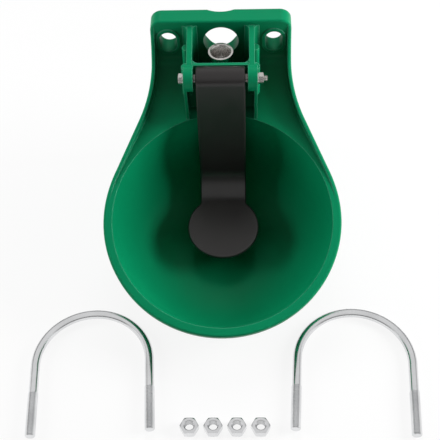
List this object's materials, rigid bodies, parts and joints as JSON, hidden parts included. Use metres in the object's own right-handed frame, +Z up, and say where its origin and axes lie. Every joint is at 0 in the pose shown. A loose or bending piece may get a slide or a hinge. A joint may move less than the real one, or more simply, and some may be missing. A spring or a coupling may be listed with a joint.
{
  "type": "livestock drinking bowl",
  "caption": "Green plastic wall-mounted drinking bowl with a black press tongue that opens a push-stem water valve; U-bolts and nuts lie beside it.",
  "frame": {"origin": "on the rear mounting face, midway between the two upper slots, on the axis of the round centre hole", "axes": "+X to the right seen from the animal, +Y back to the wall, +Z up"},
  "size_m": [0.3844, 0.3692, 0.211],
  "materials": {
    "green_plastic": "satin moulded",
    "black_plastic": "satin moulded",
    "stainless": "turned",
    "zinc": "bright zinc plated",
    "rubber": "moulded",
    "white_plastic": "turned",
    "dark_plastic": "moulded"
  },
  "bodies": {
    "body": {"bowl_body": "green_plastic", "pivot_sleeve": "stainless", "pivot_bolt": "stainless", "pivot_washers": "stainless", "pivot_nut": "stainless", "valve_body": "stainless", "valve_gasket": "rubber", "valve_lock_nut": "stainless", "valve_seat": "white_plastic", "stem_guide": "white_plastic", "valve_spring": "stainless", "end_cap_seal": "rubber", "end_cap": "stainless", "inlet_strainer": "dark_plastic", "u_bolt_left": "zinc", "u_bolt_right": "zinc", "u_bolt_nuts": "zinc"},
    "tongue": {"tongue": "black_plastic"},
    "stem": {"valve_stem": "stainless", "stem_seal": "rubber"}
  },
  "joints": [
    {"name": "tongue_swing", "type": "hinge", "parent": "body", "child": "tongue", "pos_m": [0, -0.0759, 0.0025], "axis": [1, 0, 0], "range_deg": [0, 7]},
    {"name": "stem_slide", "type": "slide", "parent": "body", "child": "stem", "axis": [0, 1, 0], "range_m": [0, 0.005], "stiffness_N_per_m": 800, "springref_m": -0.006, "deforming": ["valve_spring"]}
  ],
  "couplings": [
    {"joint": "stem_slide", "follows": "tongue_swing", "m_per_rad": 0.0395}
  ]
}
